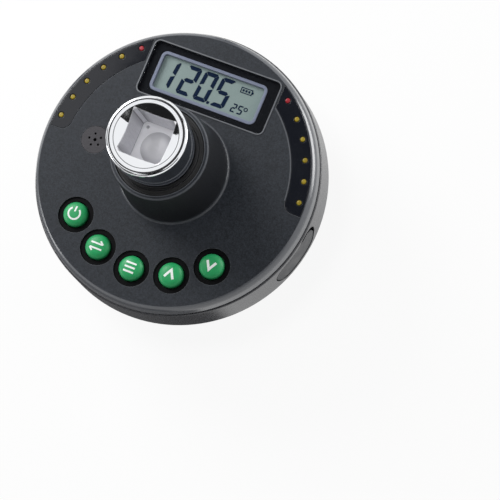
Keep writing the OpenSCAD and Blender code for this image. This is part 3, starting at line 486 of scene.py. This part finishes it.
def lamp_resin(name, colour, deep):
    """Tinted resin, darker low down round a paler middle."""
    f = Finish(name)
    z = f.xyz()[2]
    cloud = f.noise(1.6, 3.0)
    fine = f.noise(6.0, 2.0)
    rim = z.ease(FACE_Z - 0.2, FACE_Z + 0.09, 1.0, 0.0)
    tone = f.mix(cloud.ease(0.35, 0.7) * 0.5 + fine * 0.15, colour, deep)
    tone = f.mix(rim * 0.85, tone, rgb(38, 36, 30))
    rough = fine.spread(0.3, 0.42)
    normal = f.bump(cloud, 0.03, 0.5)
    return f.dressed(tone, rough, normal, Subsurface_Weight=0.15, Subsurface_Scale=0.0006)


def printed(name, colour, worn, shine=0.5):
    """Printed ink with thin spots."""
    f = Finish(name)
    thin = f.noise(3.0, 3.0).ease(0.5, 0.85)
    fine = f.noise(9.0, 2.0)
    tone = f.mix(thin * 0.6, colour, worn)
    rough = fine.spread(0.42, 0.58)
    normal = f.bump(fine, 0.006, 0.5)
    return f.dressed(tone, rough, normal, Specular_IOR_Level=shine)


def circuit_board():
    """Green mask over copper tracks with a pale weave."""
    f = Finish("circuit_board")
    settings = {"distance": "MANHATTAN", "feature": "DISTANCE_TO_EDGE"}
    cells = f.node("ShaderNodeTexVoronoi", settings, {"Vector": f.place(), "Scale": 0.55})
    tracks = cells.under(0.12)
    sockets = {"Vector": f.place(), "Scale": 2.4, "Distortion": 0.4}
    weave = f.node("ShaderNodeTexWave", {"bands_direction": "DIAGONAL"}, sockets, 1)
    tone = f.mix(weave * 0.25, rgb(18, 84, 52), rgb(26, 98, 62))
    tone = f.mix(tracks * 0.55, tone, rgb(58, 140, 88))
    rough = weave.spread(0.3, 0.4)
    normal = f.bump(tracks * 0.6 + weave * 0.2, 0.03, 0.7)
    return f.dressed(tone, rough, normal)


def battery_jacket():
    """Copper-coloured film with a black band, bare at both ends."""
    f = Finish("battery_jacket")
    x = f.xyz()[0]
    scuff = f.noise(0.8, 4.0)
    band = abs(x).under(CELL_BAND_X)
    bare = abs(x).over(CELL_BARE_X)
    tone = f.mix(band, rgb(190, 120, 56), rgb(28, 28, 31))
    tone = f.mix(bare, tone, rgb(190, 190, 188))
    tone = f.mix(scuff.ease(0.6, 0.8) * 0.4, tone, rgb(120, 112, 104))
    rough = scuff.spread(0.22, 0.4)
    normal = f.bump(scuff, 0.02, 0.4)
    return f.dressed(tone, rough, normal, Metallic=(1 - band) * 0.8)


finishes = {
    "cover": cover_plastic(),
    "shell": moulded(
        "shell_plastic", rgb(34, 35, 39), rgb(56, 57, 63),
        roughness=0.24, grain=1.8, depth_mm=0.008, edge_mm=0.3, shine=0.8,
    ),
    "lid": moulded(
        "lid_plastic", rgb(27, 28, 30), rgb(46, 48, 51),
        roughness=0.4, grain=1.8, depth_mm=0.016, edge_mm=0.3,
    ),
    "grille": moulded(
        "grille_plastic", rgb(50, 49, 53), rgb(72, 70, 74),
        roughness=0.46, grain=3.2, depth_mm=0.014, edge_mm=0.1, shine=0.3,
    ),
    "buzzer": moulded(
        "buzzer_plastic", rgb(18, 18, 19), rgb(34, 34, 36),
        roughness=0.5, grain=2.0, depth_mm=0.02, edge_mm=0.15,
    ),
    "chip": moulded(
        "chip_plastic", rgb(22, 23, 25), rgb(44, 45, 48),
        roughness=0.55, grain=4.0, depth_mm=0.015, edge_mm=0.1,
    ),
    "switch": moulded(
        "switch_plastic", rgb(60, 62, 65), rgb(88, 90, 94),
        roughness=0.45, grain=3.0, depth_mm=0.015, edge_mm=0.1,
    ),
    "seal": rubber(
        "seal_rubber", rgb(14, 14, 15), rgb(32, 32, 34), roughness=0.55, edge_mm=0.2, edge_highlight=0.8,
    ),
    "mat": rubber("mat_rubber", rgb(7, 7, 8), rgb(17, 17, 19), roughness=0.55, shine=0.08),
    "plug": rubber("plug_rubber", rgb(36, 37, 40), rgb(60, 62, 66), roughness=0.45, edge_mm=0.3),
    "strip": rubber("connector_strip", rgb(196, 120, 138), rgb(222, 156, 170), roughness=0.6),
    "bright": metal("bright_steel", rgb(214, 216, 220), rgb(180, 182, 186), roughness=0.16),
    "zinc": metal("zinc_steel", rgb(190, 190, 184), rgb(146, 148, 146), roughness=0.34),
    "spring": metal("spring_steel", rgb(178, 180, 184), rgb(132, 134, 138), roughness=0.26),
    "black_screw": metal("black_screw", rgb(48, 48, 51), rgb(28, 28, 30), roughness=0.36),
    "film": metal(
        "gauge_film", rgb(178, 116, 52), rgb(142, 92, 40), roughness=0.4, stretch=(4, 1, 1),
    ),
    "chrome": chromed_steel(),
    "smoked": smoked_window(),
    "lens": clear_lens(),
    "border": border_black(),
    "glass": display_glass(),
    "rim": pale_rim(),
    "cap": green_cap(),
    "amber": lamp_resin("light_yellow", rgb(160, 140, 28), rgb(98, 82, 14)),
    "red": lamp_resin("light_red", rgb(170, 32, 46), rgb(116, 18, 30)),
    "white_ink": printed("white_ink", rgb(236, 240, 238), rgb(176, 206, 188)),
    "dark_ink": printed("display_ink", rgb(8, 28, 54), rgb(18, 40, 68), shine=0.1),
    "board": circuit_board(),
    "jacket": battery_jacket(),
}

FINISH_OF = {
    "top_cover": "cover", "base_shell": "shell", "battery_cover": "lid", "housing_seal": "seal",
    "drive_spindle": "chrome", "flange_screws": "zinc", "neck_seal": "seal", "retaining_ball": "bright",
    "ball_spring": "spring", "strain_gauges": "film", "gauge_flex": "film", "main_board": "board",
    "board_chips": "chip", "board_screws": "zinc", "tact_switches": "switch", "leds_yellow": "amber",
    "leds_red": "red", "led_window_right": "smoked", "led_window_left": "smoked",
    "display_window": "lens", "window_gasket": "border", "lcd_frame": "rim", "lcd_panel": "glass",
    "lcd_connectors": "strip", "buzzer": "buzzer", "buzzer_grille": "grille", "keypad_mat": "mat",
    "button_clear": "cap", "button_units": "cap", "button_mode": "cap", "button_up": "cap",
    "button_down": "cap", "battery_front": "jacket", "battery_rear": "jacket",
    "contact_springs": "spring", "contact_plates": "zinc", "cover_screws": "black_screw",
    "housing_screws": "black_screw", "port_cover": "plug", "port_socket": "zinc",
}
for name, kind in FINISH_OF.items():
    slots = nodes[name].material_slots
    if not slots:
        nodes[name].data.materials.append(finishes[kind])
    for slot in slots:
        slot.material = finishes[kind]


def add(name, data):
    """A new object, linked into the scene."""
    made = bpy.data.objects.new(name, data)
    bpy.context.scene.collection.objects.link(made)
    return made


def thicken(bm, loops, height):
    """Adds a print: each loop of points is a face at its height, with a rim below it."""
    for loop in loops:
        top = [bm.verts.new((x * MM, y * MM, height(x, y) * MM)) for x, y in loop]
        low = [bm.verts.new((v.co.x, v.co.y, v.co.z - PRINT_T * MM)) for v in top]
        bm.faces.new(top)
        for k in range(len(top)):
            m = (k + 1) % len(top)
            bm.faces.new((top[k], low[k], low[m], top[m]))


def print_piece(name, loops, height, body, kind):
    """A print that rides on a body."""
    bm = bmesh.new()
    thicken(bm, loops, height)
    bmesh.ops.recalc_face_normals(bm, faces=bm.faces)
    mesh = bpy.data.meshes.new(name)
    bm.to_mesh(mesh)
    bm.free()
    mesh.materials.append(finishes[kind])
    made = add(name, mesh)
    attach(made, body)


def stroke(path, width, step=0.18):
    """Quads along a path of points, short enough that a print can follow a dome."""
    folded = 0.2
    least_mitre = 0.5
    fine = [Vector(path[0])]
    for a, b in zip(path, path[1:]):
        a, b = Vector(a), Vector(b)
        count = max(1, math.ceil((b - a).length / step))
        fine += [a.lerp(b, (k + 1) / count) for k in range(count)]
    sides = []
    for k, spot in enumerate(fine):
        before = (spot - fine[k - 1]).normalized() if k else (fine[1] - spot).normalized()
        after = (fine[k + 1] - spot).normalized() if k + 1 < len(fine) else before
        along = before + after
        along = along.normalized() if along.length > folded else before
        out = Vector((-along.y, along.x)) * width / 2
        out /= max(least_mitre, along.dot(before))
        sides.append((spot + out, spot - out))
    loops = []
    for (a, b), (c, d) in zip(sides, sides[1:]):
        loops.append([tuple(b), tuple(d), tuple(c), tuple(a)])
    return loops


def arc(radius, start, end, centre=(0, 0), count=26):
    """Points on an arc between two angles in degrees."""
    turns = [math.radians(start + (end - start) * k / count) for k in range(count + 1)]
    return [(centre[0] + radius * math.cos(t), centre[1] + radius * math.sin(t)) for t in turns]


def oblong(left, low, wide, tall):
    return [(left, low), (left + wide, low), (left + wide, low + tall), (left, low + tall)]


def cap_height(x, y):
    """Height of a sign on a button's dome, by its place from the dome's middle."""
    share = min(1.0, math.hypot(x, y) / CAP_R) ** (1 / CAP_SPREAD)
    return CAP_EDGE_Z + CAP_DOME * math.sin(math.acos(share)) ** CAP_ROUND + SIGN_PROUD


def legend(index, name, body, strokes, width):
    """White sign on one button."""
    step = 2 * math.asin(BUTTON_PITCH / 2 / BUTTON_R)
    turn = -math.pi / 2 + step * (index - MIDDLE_BUTTON)
    cx = BUTTON_R * math.cos(turn)
    cy = BUTTON_R * math.sin(turn)

    def dome(x, y):
        return cap_height(x - cx, y - cy)

    loops = []
    for path in strokes:
        loops += [[(cx + x, cy + y) for x, y in loop] for loop in stroke(path, width)]
    print_piece(name, loops, dome, body, "white_ink")


# Signs on the buttons: on and off, swap, list, up and down
legend(0, "sign_power", "clear_button", [arc(1.75, 128, 412), [(0, 0.5), (0, 2.2)]], 0.52)
legend(1, "sign_swap", "units_button", [
    [(-1.9, 0.75), (1.75, 0.75)], [(0.8, 1.65), (1.85, 0.75)],
    [(1.9, -0.75), (-1.75, -0.75)], [(-0.8, -1.65), (-1.85, -0.75)],
], 0.5)
legend(2, "sign_list", "mode_button", [
    [(-1.6, 1.3), (1.6, 1.3)], [(-1.6, 0), (1.6, 0)], [(-1.6, -1.3), (1.6, -1.3)],
], 0.55)
legend(3, "sign_up", "up_button", [[(-1.35, -1.15), (0, 1.3), (1.35, -1.15)]], 0.72)
legend(4, "sign_down", "down_button", [[(-1.35, 1.15), (0, -1.3), (1.35, 1.15)]], 0.72)

# Bars of each digit: a on top, then round by the right, and g in the middle
SEGMENTS = {
    "0": "abcdef", "1": "bc", "2": "abged", "3": "abgcd", "4": "fgbc",
    "5": "afgcd", "6": "afgedc", "7": "abc", "8": "abcdefg", "9": "abfgcd",
}


def digit(value, left, low, width, height, bar, slant):
    """Loops of one leaning digit of seven mitred bars, by its outer width and height."""
    gap = bar * 0.04
    cut = bar * 0.55
    half = bar / 2
    mid = height / 2
    upper = [
        (0, height - cut - gap), (cut / 2, height - cut / 2 - gap), (bar, height - bar - gap),
        (bar, mid + half + gap), (0, mid + gap),
    ]
    top = [
        (cut + gap, height), (width - cut - gap, height), (width - cut / 2 - gap, height - cut / 2),
        (width - bar - gap, height - bar), (bar + gap, height - bar), (cut / 2 + gap, height - cut / 2),
    ]
    middle = [
        (half + gap, mid), (bar + gap, mid + half), (width - bar - gap, mid + half),
        (width - half - gap, mid), (width - bar - gap, mid - half), (bar + gap, mid - half),
    ]

    def across(shape):
        return [(width - x, y) for x, y in shape]

    def over(shape):
        return [(x, height - y) for x, y in shape]

    shapes = {
        "a": top, "b": across(upper), "c": across(over(upper)), "d": over(top),
        "e": over(upper), "f": upper, "g": middle,
    }
    return [[(left + x + slant * y, low + y) for x, y in shapes[key]] for key in SEGMENTS[value]]


def display_print():
    """Dark digits and small signs on the display."""
    wide = 4.5
    tall = 9.2
    bar = 1.2
    pitch = 5.5
    lean = 0.1
    low = DISPLAY_Y - 4.4
    first = DISPLAY_X - 14.8
    loops = []
    for place, value in enumerate("1205"):
        # A one fills the right of its place, so it moves left
        inset = bar if value == "1" else 0
        loops += digit(value, first + pitch * place - inset, low, wide, tall, bar, lean)

    # Decimal point before the last digit
    point = first + 3 * pitch - (pitch - wide) / 2
    high = low + 0.85
    loops.append([(point - 0.4, low), (point + 0.4, low), (point + 0.5, high), (point - 0.3, high)])

    # Battery with its tip and three bars, above at the right
    thin = 0.28
    left = 8.7
    right = left + 3.4
    base = DISPLAY_Y + 2.3
    roof = base + 1.5
    loops += stroke([(left, base), (left, roof), (right, roof), (right, base), (left, base)], thin, 0.5)
    loops.append(oblong(right + 0.1, base + 0.4, 0.4, 0.7))
    for k in range(3):
        loops.append(oblong(left + 0.45 + 0.9 * k, base + 0.4, 0.6, 0.7))

    # Small number and degree ring, below at the right
    for place, value in enumerate("25"):
        loops += digit(value, left - 0.9 + 2.0 * place, DISPLAY_Y - 4.2, 1.6, 2.7, 0.42, lean)
    loops += stroke(arc(0.5, 0, 360, (left + 3.6, DISPLAY_Y - 2.2), 20), thin, 0.3)

    def on_glass(x, y):
        return GLASS_Z + DIGIT_PROUD

    print_piece("display_print", loops, on_glass, "housing", "dark_ink")


display_print()

# The studio: lengths in metres, the lens and its sensor in millimetres
WHITE = (1, 1, 1, 1)
FLOOR_HALF = 2.5
FLOOR_GREYS = ((0.86, 0.86, 0.86, 1), (0.9, 0.9, 0.9, 1))
WORLD_LIGHT = 0.28
LAMP_AIM = Vector((0, 0, 0.04))
# Each lamp's place, its width and height, and its power in watts
LAMPS = {
    "lamp_back": ((-0.29, 0.15, 0.31), (0.24, 0.24), 1.22),
    "lamp_right": ((0.49, 0.48, 0.13), (0.60, 0.22), 2.4),
    "lamp_left": ((-0.60, -0.34, 0.12), (0.30, 0.20), 0.8),
    "lamp_fill": ((0.0, 0.0, 0.60), (0.12, 0.12), 0.95),
}
CAMERA_LENS = 149.45
CAMERA_SENSOR = 36.0
CAMERA_SPOT = (0.172135, -0.093486, 0.610597)
CAMERA_RIGHT = (0.90755, 0.38228, -0.17378)
CAMERA_UP = (-0.34409, 0.91420, 0.21409)
CAMERA_BACK = (0.24071, -0.13450, 0.96123)


def floor():
    """Pale floor that shows white and keeps the object's shadow; clear from below."""
    mesh = bpy.data.meshes.new("floor")
    bm = bmesh.new()
    bmesh.ops.create_grid(bm, x_segments=2, y_segments=2, size=FLOOR_HALF)
    bm.to_mesh(mesh)
    bm.free()
    f = Finish("pale_floor")
    tone = f.mix(f.noise(0.01, 2.0) * 0.3, *FLOOR_GREYS)
    paint = f.shader(Base_Color=tone, Roughness=0.8)
    white = f.node("ShaderNodeEmission", None, {"Color": WHITE, "Strength": 1.0})
    top = f.mix_shader(f.seen() * 0.9, paint, white)
    under = f.node("ShaderNodeNewGeometry", out="Backfacing")
    clear = f.node("ShaderNodeBsdfTransparent")
    mesh.materials.append(f.done(f.mix_shader(under, top, clear)))
    add("floor", mesh)


def dark_card(name, points, faces, grey=12):
    """A dark card of the studio that only reflections show."""
    mesh = bpy.data.meshes.new(name)
    mesh.from_pydata(points, [], faces)
    f = Finish(name)
    deep = rgb(grey - 4, grey - 4, grey - 3)
    pale = rgb(grey + 4, grey + 4, grey + 6)
    mottle = f.mix(f.noise(0.004, 2.0), deep, pale)
    mesh.materials.append(f.done(f.shader(Base_Color=mottle, Roughness=0.9)))
    card = add(name, mesh)
    card.visible_camera = False
    card.visible_diffuse = False
    card.visible_transmission = False
    card.visible_shadow = False


def ring_point(far, degrees, z):
    turn = math.radians(degrees)
    return (far * math.cos(turn), far * math.sin(turn), z)


def cards():
    """Dark cards in front, overhead and on the table, for the blacks in the chrome."""
    count = 24
    screen_r = 0.8
    first = -185
    sweep = 177
    screen_low = 0.33
    screen_high = 1.09
    ring = []
    for k in range(count + 1):
        degrees = first + sweep * k / count
        ring += [ring_point(screen_r, degrees, z) for z in (screen_low, screen_high)]
    panels = [(2 * k, 2 * k + 2, 2 * k + 3, 2 * k + 1) for k in range(count)]
    dark_card("card_front", ring, panels)

    over_z = 1.0
    over = [(-0.235, -0.6), (0.3, -0.6), (0.3, 0.9), (-0.36, 0.9), (-0.36, 0.2), (-0.235, 0.19)]
    dark_card("card_over", [(x, y, over_z) for x, y in over], [range(6)])

    table_z = 0.001
    table = [(-0.3, -0.4), (0.045, -0.4), (0.03, -0.02), (-0.3, -0.02)]
    dark_card("card_table", [(x, y, table_z) for x, y in table], [range(4)], grey=120)

    strip_z = 0.0015
    near = 0.1
    far = 1.6
    wide = 9
    spots = []
    for turn in (100, 152, 206):
        corners = ((near, turn), (far, turn), (far, turn + wide), (near, turn + wide))
        spots += [ring_point(away, degrees, strip_z) for away, degrees in corners]
    dark_card("card_strips", spots, [range(4 * k, 4 * k + 4) for k in range(3)], grey=40)


def surroundings():
    """White all round to the eye and in reflections, and a plain soft light on the object."""
    world = bpy.data.worlds.new("surroundings")
    bpy.context.scene.world = world
    w = Wiring(world)
    plain = w.node("ShaderNodeBackground", None, {"Color": WHITE, "Strength": WORLD_LIGHT})
    white = w.node("ShaderNodeBackground", None, {"Color": WHITE, "Strength": 1.0})
    w.node("ShaderNodeOutputWorld", None, {"Surface": w.mix_shader(w.seen(), plain, white)})


def lamps():
    """Soft lamps; the fill lamp leaves no highlight."""
    for name, (spot, (wide, tall), power) in LAMPS.items():
        data = bpy.data.lights.new(name, "AREA")
        data.shape = "ELLIPSE"
        data.size = wide
        data.size_y = tall
        data.energy = power
        lamp = add(name, data)
        lamp.location = spot
        lamp.rotation_euler = (LAMP_AIM - Vector(spot)).to_track_quat("-Z", "Y").to_euler()
        lamp.visible_glossy = name != "lamp_fill"


def camera():
    """The camera at the photograph's viewing angle."""
    data = bpy.data.cameras.new("camera")
    data.sensor_width = CAMERA_SENSOR
    data.lens = CAMERA_LENS
    data.clip_start = 0.01
    data.clip_end = 20.0
    made = add("camera", data)
    turned = Matrix((CAMERA_RIGHT, CAMERA_UP, CAMERA_BACK)).transposed().to_4x4()
    made.matrix_world = Matrix.Translation(CAMERA_SPOT) @ turned
    bpy.context.scene.camera = made


floor()
cards()
surroundings()
lamps()
camera()
bpy.context.scene.view_settings.view_transform = "Standard"
